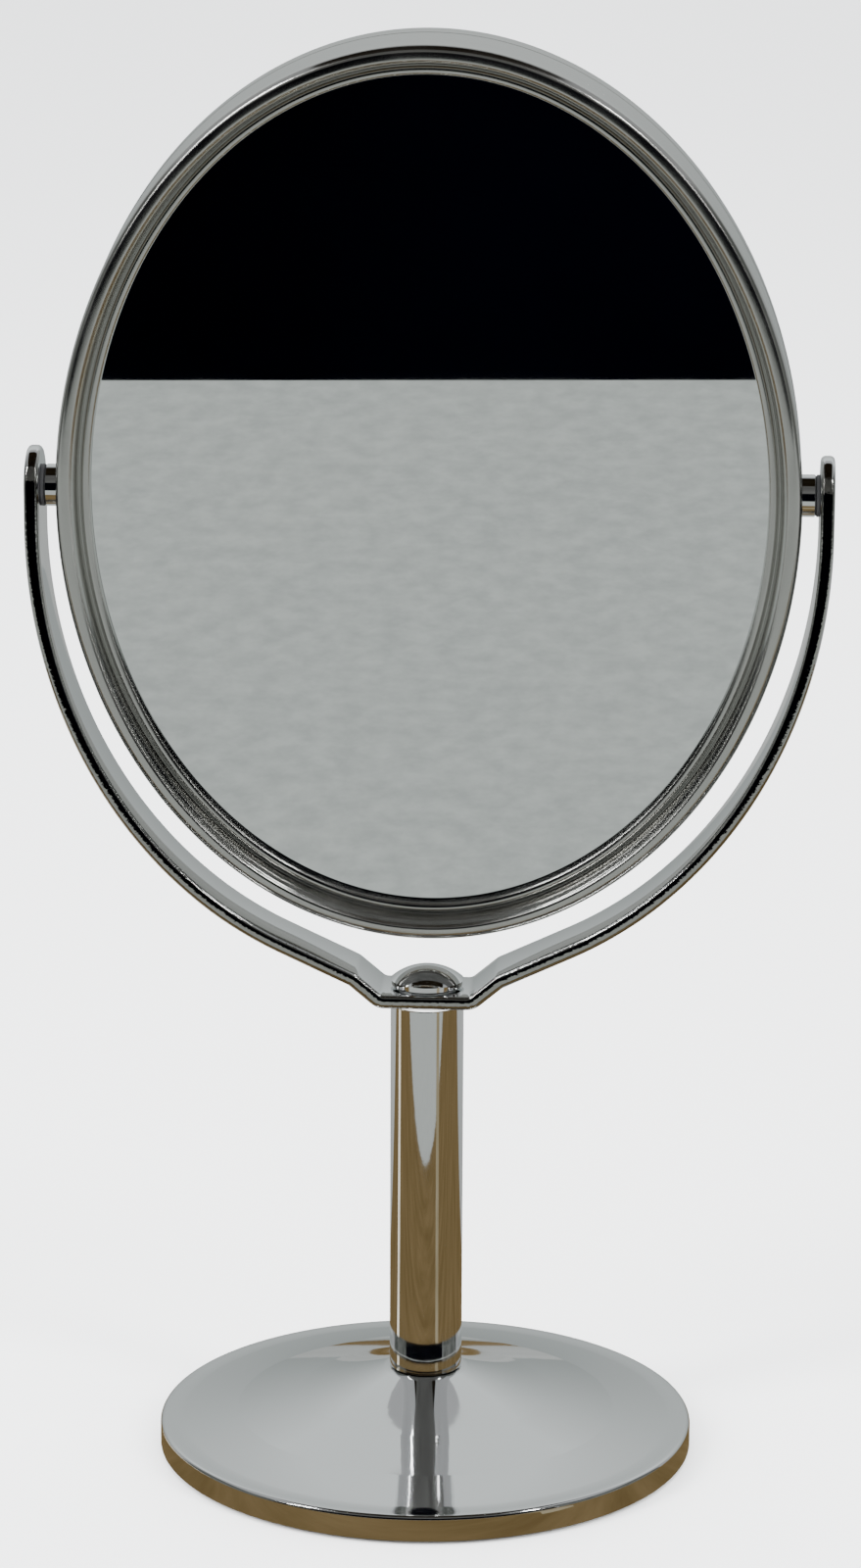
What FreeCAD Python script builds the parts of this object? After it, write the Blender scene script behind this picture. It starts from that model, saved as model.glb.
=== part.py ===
"""Extendable table shaving mirror, chromed steel, double sided.

Millimetres, +Z up.  The origin is the middle of the base's underside.  The glass that faces
the user looks along -Y and the tilt axis runs along X.  Every sub-part is written to parts/.
"""
import FreeCAD
import Part
import math
import os

Vec = FreeCAD.Vector
X_AXIS, Z_AXIS = Vec(1, 0, 0), Vec(0, 0, 1)
CENTRE = Vec(0, 0, 0)
OVERCUT = 1.0               # cutting shapes run past the faces they cut by this much

# ---- base -------------------------------------------------------------------------------
BASE_RADIUS = 59.0          # outside of the spun base
BASE_WALL = 1.0             # sheet thickness of the spun base
BASE_RIM_TOP = 6.5          # height of the flat shelf behind the rolled edge
BASE_EDGE_ROUND = 1.0       # outside corner between shelf and wall
SHELF_INNER_RADIUS = 54.5   # where the shelf turns into the cone
CONE_MID = (30.0, 11.3)     # a point half way up the hollow cone
LAND_RADIUS = 8.8           # flat land that the column stands on
LAND_TOP = 18.0
EDGE_CLEARANCE = 0.8        # the pad stands this much lower than the steel edge
PAD_RADIUS = 57.6
PAD_THICKNESS = 1.6
WEIGHT_RADIUS = 56.8
WEIGHT_PLATE_TOP = 4.8
HUB_RADIUS = 15.0
HUB_TOP = 12.5
SCREW_POCKET_RADIUS = 6.6
SCREW_POCKET_TOP = 6.0
BASE_SCREW_RADIUS = 2.5
BASE_SCREW_HEAD = (4.6, 2.8)      # radius, height
BASE_SCREW_TOP = 20.0
BASE_WASHER = (6.0, 1.0)          # radius, thickness

# ---- telescopic column --------------------------------------------------------------------
COLUMN_RADIUS = 8.0
COLUMN_BORE = 7.0
COLUMN_FOOT = 18.2
COLUMN_TOP = 102.3
POST_RADIUS = 6.0
POST_BORE = 5.0
POST_FOOT = 8.5
POST_TOP = 86.5
FOOT_PLUG_TOP = 22.0
GUIDE_LENGTH = 8.0
GUIDE_BELOW_TOP = 1.0       # the guide sleeve stops this far under the post's end
CAP_RADIUS = 6.6
CAP_THICKNESS = 1.2
CAP_STEM = 8.0
LOWER_BUSH_LENGTH = 10.0
TOP_PLUG_FOOT = 91.0
SLIDE_CLEARANCE = 0.05      # radial running clearance of both sleeves
SHAFT_CLEARANCE = 0.08      # radial clearance of pins and screws that turn

# ---- yoke ---------------------------------------------------------------------------------
PIVOT_HEIGHT = 215.7
STRIP_THICKNESS = 3.0
STRIP_WIDTH = 17.0
YOKE_HALF_WIDTH = 85.8      # outside half axis of the oval yoke, along X
YOKE_HALF_HEIGHT = 99.8     # outside half axis of the oval yoke, along Z
ARM_STRAIGHT = 8.0          # each arm stays straight this far below the pivot
OVAL_CENTRE = PIVOT_HEIGHT - ARM_STRAIGHT
SEAT_UNDERSIDE = 102.8
OVAL_END = 32.0             # half distance where the oval runs out into straight legs
DROP_START = 16.7           # half distance where the legs turn down to the seat
DROP_SLOPE = 40.0           # degrees, slope of that short drop
BEND_RADIUS = 2.0           # inside radius of the two bends beside the seat
SWIVEL_WASHER_RADIUS = 7.9
SWIVEL_SCREW_RADIUS = 3.0
SWIVEL_SCREW_FOOT = 93.0
SPRING_WASHER = (6.5, 0.5)        # radius, thickness
DOME_RADIUS = 8.0
DOME_EDGE = 1.3             # straight edge under the dome
DOME_RISE = 3.0
PIN_RADIUS = 2.0
PIN_HEAD = (3.4, 1.2)             # radius, depth of the countersunk head
PIN_PROUD = 0.15            # the head stands this far out of the strip's face
PIN_LENGTH = 7.8
PIVOT_WASHER_THICKNESS = 0.8
PIVOT_WASHER_GAP = 0.05     # running gap between washer and boss

# ---- mirror head --------------------------------------------------------------------------
REST_TILT = 7.0             # degrees, the top leans towards the user
RIM_A = 79.0                # outside half axis of the rim, along X
RIM_B = 98.9                # outside half axis of the rim, along Z
RIM_DEPTH = 20.0
HEAD_DROP = 1.2             # the oval hangs this far below its pivots, so that it rests upright
BOSS_RADIUS = 4.5
BOSS_SHANK_RADIUS = 2.7
BAND_WALL = 1.6
GLASS_THICKNESS = 1.8
GLASS_MARGIN = 2.6          # glass edge inside the rim's outside
FRONT_GLASS_DEPTH = 6.8
MAGNIFIER_RADIUS = 2000.0   # curvature of the magnifying glass
MAGNIFIER_CENTRE_DEPTH = 11.1     # its hollow face in the middle, from the front of the rim
TRAY_MARGIN = 1.7
TRAY_WALL = 0.8
TRAY_WEB = (8.6, 9.3)             # depths of the tray's web
TRAY_DEPTHS = (6.8, 13.2)

# Cross-section of one pressed bezel: (inwards from the rim's outside, depth from its front).
BEZEL_OUTSIDE = [(0.0, 6.5), (0.0, 3.0), (0.12, 1.9), (0.5, 1.0), (1.1, 0.45), (1.9, 0.2),
                 (2.7, 0.3), (3.4, 0.85), (4.0, 2.0), (4.4, 3.8), (4.65, 5.6), (5.1, 4.9),
                 (5.8, 4.6), (6.5, 4.8), (6.95, 5.4), (7.1, 6.6)]
BEZEL_INSIDE = [(6.3, 6.6), (6.2, 5.8), (5.8, 5.5), (5.3, 5.8), (4.9, 6.5), (4.2, 6.4),
                (3.7, 4.4), (3.3, 2.6), (2.9, 1.6), (2.3, 1.1), (1.7, 1.1), (1.2, 1.6),
                (0.9, 2.4), (0.8, 3.4), (0.8, 6.5)]
# Cross-section of the band between the bezels, with a thin tongue under each of them.
BAND_SECTION = [(0.0, 6.5), (0.0, 13.5), (0.8, 13.5), (0.8, 15.0), (BAND_WALL, 15.0),
                (BAND_WALL, 5.0), (0.8, 5.0), (0.8, 6.5)]


def cylinder(radius, bottom, top):
    """A round bar about the column's axis."""
    return Part.makeCylinder(radius, top - bottom, Vec(0, 0, bottom))


def sleeve(outer, inner, bottom, top):
    """A tube about the column's axis."""
    return cylinder(outer, bottom, top).cut(cylinder(inner, bottom - OVERCUT, top + OVERCUT))


def cross_bar(radius, start, end, side):
    """A round bar along the tilt axis; side is +1 for the right arm and -1 for the left."""
    return Part.makeCylinder(radius, end - start, Vec(side * start, 0, PIVOT_HEIGHT),
                             Vec(side, 0, 0))


def revolve(edges):
    """The solid swept by a closed outline in the XZ plane about the column's axis."""
    return Part.Face(Part.Wire(edges)).revolve(CENTRE, Z_AXIS, 360)


def polyline(points):
    """The straight edges through (x, z) points."""
    corners = [Vec(x, 0, z) for x, z in points]
    return [Part.makeLine(a, b) for a, b in zip(corners, corners[1:])]


def arc(start, middle, end):
    """The arc through three (x, z) points."""
    return Part.Arc(*[Vec(x, 0, z) for x, z in (start, middle, end)]).toShape()


def base_dome(drop, radius):
    """The solid under the base's outer face, moved down by drop and cut to radius."""
    corner = BASE_EDGE_ROUND * (1 - math.sqrt(0.5))
    land = (LAND_RADIUS, LAND_TOP - drop)
    shelf_in = (SHELF_INNER_RADIUS, BASE_RIM_TOP - drop)
    shelf_out = (radius - BASE_EDGE_ROUND, BASE_RIM_TOP - drop)
    wall_top = (radius, BASE_RIM_TOP - drop - BASE_EDGE_ROUND)
    edges = polyline([(0, EDGE_CLEARANCE), (0, land[1]), land])
    edges.append(arc(land, (CONE_MID[0], CONE_MID[1] - drop), shelf_in))
    edges += polyline([shelf_in, shelf_out])
    edges.append(arc(shelf_out, (radius - corner, BASE_RIM_TOP - drop - corner), wall_top))
    edges += polyline([wall_top, (radius, EDGE_CLEARANCE), (0, EDGE_CLEARANCE)])
    return revolve(edges)


def base_parts():
    """Spun cover, iron weight, pad, and the screw that clamps them to the inner post."""
    shell = base_dome(0.0, BASE_RADIUS).cut(base_dome(BASE_WALL, BASE_RADIUS - BASE_WALL))
    shell = shell.cut(cylinder(POST_RADIUS + SLIDE_CLEARANCE, 0, LAND_TOP + OVERCUT))
    weight = cylinder(WEIGHT_RADIUS, PAD_THICKNESS, WEIGHT_PLATE_TOP)
    weight = weight.fuse(cylinder(HUB_RADIUS, PAD_THICKNESS, HUB_TOP)).removeSplitter()
    weight = weight.cut(cylinder(SCREW_POCKET_RADIUS, 0, SCREW_POCKET_TOP))
    weight = weight.cut(cylinder(BASE_SCREW_RADIUS + SHAFT_CLEARANCE, 0, HUB_TOP + OVERCUT))
    weight = weight.cut(cylinder(POST_RADIUS + SLIDE_CLEARANCE, POST_FOOT, HUB_TOP + OVERCUT))
    washer_foot = SCREW_POCKET_TOP - BASE_WASHER[1]
    washer = sleeve(BASE_WASHER[0], BASE_SCREW_RADIUS + SHAFT_CLEARANCE,
                    washer_foot, SCREW_POCKET_TOP)
    head = cylinder(BASE_SCREW_HEAD[0], washer_foot - BASE_SCREW_HEAD[1], washer_foot)
    screw = head.fuse(cylinder(BASE_SCREW_RADIUS, washer_foot, BASE_SCREW_TOP))
    return {"base_shell": shell, "base_weight": weight, "base_washer": washer,
            "base_pad": cylinder(PAD_RADIUS, 0, PAD_THICKNESS),
            "base_screw": screw.removeSplitter()}


def column_parts():
    """The fixed inner post with its fittings, and the sliding outer tube with its own."""
    guide_top = POST_TOP - GUIDE_BELOW_TOP
    cap = cylinder(CAP_RADIUS, POST_TOP, POST_TOP + CAP_THICKNESS)
    cap = cap.fuse(cylinder(POST_BORE, POST_TOP - CAP_STEM, POST_TOP)).removeSplitter()
    return {
        "inner_post": sleeve(POST_RADIUS, POST_BORE, POST_FOOT, POST_TOP),
        "post_foot_plug": sleeve(POST_BORE, BASE_SCREW_RADIUS + SLIDE_CLEARANCE,
                                 POST_FOOT, FOOT_PLUG_TOP),
        "post_guide_sleeve": sleeve(COLUMN_BORE - SLIDE_CLEARANCE, POST_RADIUS,
                                    guide_top - GUIDE_LENGTH, guide_top),
        "post_top_cap": cap,
        "column_tube": sleeve(COLUMN_RADIUS, COLUMN_BORE, COLUMN_FOOT, COLUMN_TOP),
        "column_lower_bush": sleeve(COLUMN_BORE, POST_RADIUS + SLIDE_CLEARANCE,
                                    COLUMN_FOOT, COLUMN_FOOT + LOWER_BUSH_LENGTH),
        "column_top_plug": sleeve(COLUMN_BORE, SWIVEL_SCREW_RADIUS,
                                  TOP_PLUG_FOOT, COLUMN_TOP),
        "swivel_washer": sleeve(SWIVEL_WASHER_RADIUS, SWIVEL_SCREW_RADIUS,
                                COLUMN_TOP, SEAT_UNDERSIDE),
    }


def leg_corners(inset):
    """Join with the oval, upper bend and lower bend of the right leg, as (point, normal)."""
    share = OVAL_END / YOKE_HALF_WIDTH
    fall = math.sqrt(1 - share ** 2)
    slope = math.atan(YOKE_HALF_HEIGHT / YOKE_HALF_WIDTH * share / fall)
    join = Vec(OVAL_END, 0, OVAL_CENTRE - YOKE_HALF_HEIGHT * fall)
    upper = join - Vec(OVAL_END - DROP_START, 0, (OVAL_END - DROP_START) * math.tan(slope))
    drop = math.radians(DROP_SLOPE)
    run = (upper.z - SEAT_UNDERSIDE) / math.tan(drop)
    lower = Vec(DROP_START - run, 0, SEAT_UNDERSIDE)
    leg_normal = Vec(-math.sin(slope), 0, math.cos(slope))
    drop_normal = Vec(-math.sin(drop), 0, math.cos(drop))
    return [join + leg_normal * inset,
            upper + (leg_normal + drop_normal) * (inset / (1 + leg_normal.dot(drop_normal))),
            lower + (drop_normal + Z_AXIS) * (inset / (1 + drop_normal.dot(Z_AXIS)))]


def bend(before, corner, after, radius):
    """The arc that rounds a corner, with its two ends."""
    back, ahead = (before - corner).normalize(), (after - corner).normalize()
    half_angle = back.getAngle(ahead) / 2
    reach = radius / math.tan(half_angle)
    middle = (back + ahead).normalize() * (radius / math.sin(half_angle) - radius)
    start, end = corner + back * reach, corner + ahead * reach
    return start, Part.Arc(start, corner + middle, end).toShape(), end


def yoke_outline(inset):
    """One edge line of the bent strip, from the right arm's end to the left arm's end."""
    half_width, half_height = YOKE_HALF_WIDTH - inset, YOKE_HALF_HEIGHT - inset
    side_point = Vec(half_width, 0, OVAL_CENTRE)
    join, upper, lower = leg_corners(inset)
    oval = Part.Ellipse(Vec(0, 0, OVAL_CENTRE + half_height), side_point,
                        Vec(0, 0, OVAL_CENTRE))
    join.z = OVAL_CENTRE - half_height * math.sqrt(1 - (join.x / half_width) ** 2)
    first, last = sorted((oval.parameter(side_point), oval.parameter(join)))
    if last - first > math.pi:
        first, last = last, first + 2 * math.pi
    upper_start, upper_arc, upper_end = bend(join, upper, lower, BEND_RADIUS + inset)
    lower_start, lower_arc, lower_end = bend(upper, lower, CENTRE + Z_AXIS * lower.z,
                                             BEND_RADIUS + STRIP_THICKNESS - inset)
    arm = Part.makeLine(Vec(half_width, 0, PIVOT_HEIGHT + STRIP_WIDTH / 2), side_point)
    right = [arm, oval.toShape(first, last), Part.makeLine(join, upper_start), upper_arc,
             Part.makeLine(upper_end, lower_start), lower_arc]
    left = [edge.mirror(CENTRE, X_AXIS) for edge in right]
    flat = Part.makeLine(lower_end, Vec(-lower_end.x, 0, lower_end.z))
    return right + [flat] + left


def yoke_strip():
    """The flat strip bent to an oval yoke, with round arm ends and a sunk flat seat."""
    arm_end = PIVOT_HEIGHT + STRIP_WIDTH / 2
    edges = yoke_outline(0.0) + yoke_outline(STRIP_THICKNESS)
    for side in (1, -1):
        outer = Vec(side * YOKE_HALF_WIDTH, 0, arm_end)
        inner = Vec(side * (YOKE_HALF_WIDTH - STRIP_THICKNESS), 0, arm_end)
        edges.append(Part.makeLine(outer, inner))
    face = Part.Face(Part.Wire(Part.__sortEdges__(edges)))
    strip = face.extrude(Vec(0, STRIP_WIDTH, 0))
    strip.translate(Vec(0, -STRIP_WIDTH / 2, 0))
    span = 2 * (YOKE_HALF_WIDTH + OVERCUT)
    below = Part.makeBox(span, STRIP_WIDTH + 2 * OVERCUT, PIVOT_HEIGHT,
                         Vec(-span / 2, -STRIP_WIDTH / 2 - OVERCUT, 0))
    round_end = Part.makeCylinder(STRIP_WIDTH / 2, span, Vec(-span / 2, 0, PIVOT_HEIGHT), X_AXIS)
    strip = strip.common(below.fuse(round_end))
    strip = strip.cut(cylinder(SWIVEL_SCREW_RADIUS + SHAFT_CLEARANCE,
                               SEAT_UNDERSIDE - OVERCUT,
                               SEAT_UNDERSIDE + STRIP_THICKNESS + OVERCUT))
    for side in (1, -1):
        strip = strip.cut(pin_body(side))
    return strip


def pin_body(side):
    """The pivot pin: a countersunk head, just proud of the arm, and a plain shank."""
    face = YOKE_HALF_WIDTH + PIN_PROUD
    shank = cross_bar(PIN_RADIUS, face - PIN_LENGTH, face, side)
    head = Part.makeCone(PIN_RADIUS, PIN_HEAD[0], PIN_HEAD[1],
                         Vec(side * (face - PIN_HEAD[1]), 0, PIVOT_HEIGHT), Vec(side, 0, 0))
    return shank.fuse(head).removeSplitter()


def swivel_screw():
    """The domed screw that holds the yoke on the column, with its plain shank."""
    seat_top = SEAT_UNDERSIDE + STRIP_THICKNESS
    head_foot = seat_top + SPRING_WASHER[1]
    edge_top = head_foot + DOME_EDGE
    ball = (DOME_RADIUS ** 2 + DOME_RISE ** 2) / (2 * DOME_RISE)
    dome = Part.makeSphere(ball, Vec(0, 0, edge_top + DOME_RISE - ball))
    dome = dome.common(cylinder(DOME_RADIUS, edge_top, edge_top + DOME_RISE))
    screw = dome.fuse(cylinder(DOME_RADIUS, head_foot, edge_top))
    screw = screw.fuse(cylinder(SWIVEL_SCREW_RADIUS, SWIVEL_SCREW_FOOT, head_foot))
    return screw.removeSplitter()


def yoke_parts():
    """The strip, its swivel screw and spring washer, and a pin and washer at each arm."""
    seat_top = SEAT_UNDERSIDE + STRIP_THICKNESS
    parts = {"yoke_strip": yoke_strip(), "swivel_screw": swivel_screw(),
             "swivel_spring_washer": sleeve(SPRING_WASHER[0],
                                            SWIVEL_SCREW_RADIUS + SHAFT_CLEARANCE,
                                            seat_top, seat_top + SPRING_WASHER[1])}
    arm_face = YOKE_HALF_WIDTH - STRIP_THICKNESS
    for side, name in ((1, "right"), (-1, "left")):
        washer = cross_bar(BOSS_RADIUS, arm_face - PIVOT_WASHER_THICKNESS, arm_face, side)
        bore = cross_bar(PIN_RADIUS, 0, YOKE_HALF_WIDTH, side)
        parts["pivot_pin_" + name] = pin_body(side)
        parts["pivot_washer_" + name] = washer.cut(bore)
    return parts


def oval_edge(inwards, depth):
    """One oval of the rim: inwards from its outside, at a depth behind its front."""
    half_width, half_height = RIM_A - inwards, RIM_B - inwards
    y = depth - RIM_DEPTH / 2
    centre = Vec(0, y, -HEAD_DROP)
    return Part.Ellipse(centre + Z_AXIS * half_height, centre + X_AXIS * half_width,
                        centre).toShape()


def oval_ring(section):
    """The ring whose closed cross-section is given as (inwards, depth) points."""
    ovals = [oval_edge(*point) for point in section]
    faces = [Part.makeRuledSurface(a, b) for a, b in zip(ovals, ovals[1:] + ovals[:1])]
    ring = Part.Solid(Part.Shell(faces))
    if ring.Volume < 0:
        ring.reverse()
    return ring


def oval_plate(inwards, front, back):
    """A flat oval plate between two depths."""
    face = Part.Face(Part.Wire(oval_edge(inwards, front)))
    return face.extrude(Vec(0, back - front, 0))


def magnifying_glass():
    """Bent glass of even thickness whose hollow face looks backwards."""
    blank = oval_plate(GLASS_MARGIN, TRAY_WEB[1], RIM_DEPTH)
    hollow = MAGNIFIER_CENTRE_DEPTH - RIM_DEPTH / 2
    ball_centre = Vec(0, hollow + MAGNIFIER_RADIUS, -HEAD_DROP)
    thick = Part.makeSphere(MAGNIFIER_RADIUS + GLASS_THICKNESS, ball_centre)
    return blank.common(thick).cut(Part.makeSphere(MAGNIFIER_RADIUS, ball_centre))


def head_parts():
    """Two bezels, the band, the tray with both glasses, and a boss at each side."""
    back_bezel = oval_ring([(i, RIM_DEPTH - d) for i, d in BEZEL_OUTSIDE + BEZEL_INSIDE])
    tray = oval_plate(TRAY_MARGIN, *TRAY_DEPTHS)
    tray = tray.cut(oval_plate(TRAY_MARGIN + TRAY_WALL, TRAY_DEPTHS[0] - OVERCUT, TRAY_WEB[0]))
    tray = tray.cut(oval_plate(TRAY_MARGIN + TRAY_WALL, TRAY_WEB[1], TRAY_DEPTHS[1] + OVERCUT))
    parts = {"front_bezel": oval_ring(BEZEL_OUTSIDE + BEZEL_INSIDE),
             "back_bezel": back_bezel,
             "rim_band": oval_ring(BAND_SECTION),
             "core_tray": tray,
             "front_glass": oval_plate(GLASS_MARGIN, FRONT_GLASS_DEPTH,
                                       FRONT_GLASS_DEPTH + GLASS_THICKNESS),
             "magnifying_glass": magnifying_glass()}
    boss_end = YOKE_HALF_WIDTH - STRIP_THICKNESS - PIVOT_WASHER_THICKNESS - PIVOT_WASHER_GAP
    shank_end = RIM_A - BAND_WALL
    outside = oval_plate(0.0, 0.0, RIM_DEPTH)
    for side, name in ((1, "right"), (-1, "left")):
        shank = cross_bar(BOSS_SHANK_RADIUS, shank_end, RIM_A + OVERCUT, side)
        boss = cross_bar(BOSS_RADIUS, RIM_A - OVERCUT, boss_end, side)
        bore = cross_bar(PIN_RADIUS + SHAFT_CLEARANCE, 0, YOKE_HALF_WIDTH, side)
        for piece in (shank, boss, bore):
            piece.translate(Vec(0, 0, -PIVOT_HEIGHT))
        parts["rim_band"] = parts["rim_band"].cut(shank)
        parts["pivot_boss_" + name] = boss.cut(outside).fuse(shank).cut(bore).removeSplitter()
    for shape in parts.values():
        shape.rotate(CENTRE, X_AXIS, REST_TILT)
        shape.translate(Vec(0, 0, PIVOT_HEIGHT))
    return parts


def main():
    os.makedirs("parts", exist_ok=True)
    nodes = {}
    for group in (base_parts, column_parts, yoke_parts, head_parts):
        nodes.update(group())
    for name, shape in nodes.items():
        box = shape.BoundBox
        print(f"{name:22s} valid {shape.isValid()} solids {len(shape.Solids)} "
              f"volume {shape.Volume:9.1f}  z {box.ZMin:7.2f}..{box.ZMax:7.2f}")
        shape.exportStep(f"parts/{name}.step")


main()
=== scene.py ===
from math import atan2, cos, degrees, hypot, pi, radians, sin, sqrt, tan

import bmesh
import bpy
from mathutils import Matrix, Vector


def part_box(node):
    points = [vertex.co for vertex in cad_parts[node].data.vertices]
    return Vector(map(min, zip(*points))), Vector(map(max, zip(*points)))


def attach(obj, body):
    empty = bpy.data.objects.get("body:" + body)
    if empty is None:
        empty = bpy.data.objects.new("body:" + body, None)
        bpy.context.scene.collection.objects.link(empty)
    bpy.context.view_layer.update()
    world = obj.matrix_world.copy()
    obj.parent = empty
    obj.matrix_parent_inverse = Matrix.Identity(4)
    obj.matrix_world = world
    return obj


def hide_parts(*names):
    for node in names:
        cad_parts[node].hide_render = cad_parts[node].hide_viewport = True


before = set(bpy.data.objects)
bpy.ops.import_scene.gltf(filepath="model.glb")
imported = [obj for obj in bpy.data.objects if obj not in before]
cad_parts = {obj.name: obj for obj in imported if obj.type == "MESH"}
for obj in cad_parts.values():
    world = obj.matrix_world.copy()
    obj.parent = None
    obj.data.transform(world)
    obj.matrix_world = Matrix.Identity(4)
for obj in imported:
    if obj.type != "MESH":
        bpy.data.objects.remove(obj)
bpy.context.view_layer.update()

MM = 0.001


# ---- Camera ---------------------------------------------------------------------------
# A long lens at table height plus a forearm, a little to the right of straight ahead, so
# the right arm of the yoke stands nearer than the left.
CAMERA_DISTANCE = 1000 * MM
CAMERA_HEIGHT = 406 * MM
CAMERA_TURN = radians(3.0)
CAMERA_PITCH = radians(14.29)
CAMERA_ROLL = radians(0.27)
CAMERA_SHIFT = 0.5 * MM
CAMERA_LENS = 109.8
camera_data = bpy.data.cameras.new("camera")
camera_data.lens = CAMERA_LENS
camera_data.sensor_width = 36
camera = bpy.data.objects.new("camera", camera_data)
bpy.context.scene.collection.objects.link(camera)
camera.location = (CAMERA_DISTANCE * sin(CAMERA_TURN) + CAMERA_SHIFT,
                   -CAMERA_DISTANCE * cos(CAMERA_TURN), CAMERA_HEIGHT)
camera.rotation_mode = "QUATERNION"
camera.rotation_quaternion = (Matrix.Rotation(CAMERA_TURN, 3, "Z")
                              @ Matrix.Rotation(pi / 2 - CAMERA_PITCH, 3, "X")
                              @ Matrix.Rotation(CAMERA_ROLL, 3, "Z")).to_quaternion()
bpy.context.scene.camera = camera


# ---- Spun base ------------------------------------------------------------------------
# A disc of thin steel spun over a form: a hollow cone that rises to the column, a flat
# shelf, and an edge rolled down to the table. Plated with bright chrome.
BASE_SEGMENTS = 192
MERGE_DISTANCE = 0.0005 * MM


def deselect():
    bpy.ops.object.select_all(action="DESELECT")


def open_edit(piece):
    """Goes into edit mode on one piece with nothing on it selected."""
    deselect()
    piece.select_set(True)
    bpy.context.view_layer.objects.active = piece
    bpy.ops.object.mode_set(mode="EDIT")
    bpy.ops.mesh.select_all(action="DESELECT")


def close_edit():
    bpy.ops.object.mode_set(mode="OBJECT")


def settle(piece, smooth_angle=30):
    """Puts the piece's place into its mesh, turns its faces outwards and shades it smooth."""
    deselect()
    piece.select_set(True)
    bpy.context.view_layer.objects.active = piece
    bpy.ops.object.transform_apply(location=True, rotation=True, scale=True)
    bpy.ops.object.mode_set(mode="EDIT")
    bpy.ops.mesh.select_all(action="SELECT")
    bpy.ops.mesh.remove_doubles(threshold=MERGE_DISTANCE)
    bpy.ops.mesh.normals_make_consistent(inside=False)
    bpy.ops.object.mode_set(mode="OBJECT")
    bpy.ops.object.shade_smooth_by_angle(angle=radians(smooth_angle))
    return piece


def turned(name, outline, segments=96, close_start=True, close_end=True):
    """A round piece grown ring by ring: outline is a list of (radius, height)."""
    deselect()
    radius, height = outline[0]
    bpy.ops.mesh.primitive_circle_add(vertices=segments, radius=radius, location=(0, 0, height))
    piece = bpy.context.object
    piece.name = name
    bpy.ops.object.transform_apply(location=True)
    bpy.ops.object.mode_set(mode="EDIT")
    bpy.ops.mesh.select_all(action="SELECT")
    if close_start:
        bpy.ops.mesh.edge_face_add()
    for next_radius, next_height in outline[1:]:
        bpy.ops.mesh.extrude_region_move(
            TRANSFORM_OT_translate={"value": (0, 0, next_height - height)})
        grow = next_radius / radius
        bpy.ops.transform.resize(value=(grow, grow, 1), center_override=(0, 0, next_height))
        radius, height = next_radius, next_height
    if close_end:
        bpy.ops.mesh.edge_face_add()
    bpy.ops.object.mode_set(mode="OBJECT")
    return piece


def quarter(centre, radius, start, end, steps):
    """Points of an arc, as (radius, height), with the angles in degrees."""
    angles = [radians(start + (end - start) * i / steps) for i in range(steps + 1)]
    return [(centre[0] + radius * cos(a), centre[1] + radius * sin(a)) for a in angles]


def arc_through(first, middle, last, steps):
    """Points of the arc through three points."""
    (ax, ay), (bx, by), (cx, cy) = first, middle, last
    d = 2 * (ax * (by - cy) + bx * (cy - ay) + cx * (ay - by))
    ux = ((ax**2 + ay**2) * (by - cy) + (bx**2 + by**2) * (cy - ay)
          + (cx**2 + cy**2) * (ay - by)) / d
    uy = ((ax**2 + ay**2) * (cx - bx) + (bx**2 + by**2) * (ax - cx)
          + (cx**2 + cy**2) * (bx - ax)) / d
    start = degrees(atan2(ay - uy, ax - ux))
    sweep = (degrees(atan2(cy - uy, cx - ux)) - start + 180) % 360 - 180
    return quarter((ux, uy), hypot(ax - ux, ay - uy), start, start + sweep, steps)


base_low, base_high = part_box("base_shell")
base_radius = base_high.x
base_top = base_high.z
SHELF_HEIGHT = 6.5 * MM
EDGE_ROUND = 1.0 * MM
SHELF_INNER = 54.5 * MM
SHELF_FLAT = 2.0 * MM
CONE_MIDDLE = (30 * MM, 11.3 * MM)
LAND = 8.8 * MM
NECK_BORE = 6.1 * MM
SHEET = 1.0 * MM
FOOT_EDGE = 0.2 * MM
INNER_ROLL = 4 * MM
base_outline = [(base_radius - SHEET, base_low.z), (base_radius - FOOT_EDGE, base_low.z),
                (base_radius, base_low.z + FOOT_EDGE)]
base_outline += quarter((base_radius - EDGE_ROUND, SHELF_HEIGHT - EDGE_ROUND), EDGE_ROUND,
                        0, 90, 10)
base_outline += [(SHELF_INNER + SHELF_FLAT, SHELF_HEIGHT)]
base_outline += arc_through((SHELF_INNER, SHELF_HEIGHT), CONE_MIDDLE, (LAND, base_top), 60)
base_outline += [(NECK_BORE, base_top), (NECK_BORE, base_top - SHEET)]
base_outline += [(base_radius - INNER_ROLL, SHELF_HEIGHT - SHEET),
                 (base_radius - SHEET, SHELF_HEIGHT - SHEET - EDGE_ROUND),
                 (base_radius - SHEET, base_low.z)]


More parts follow.
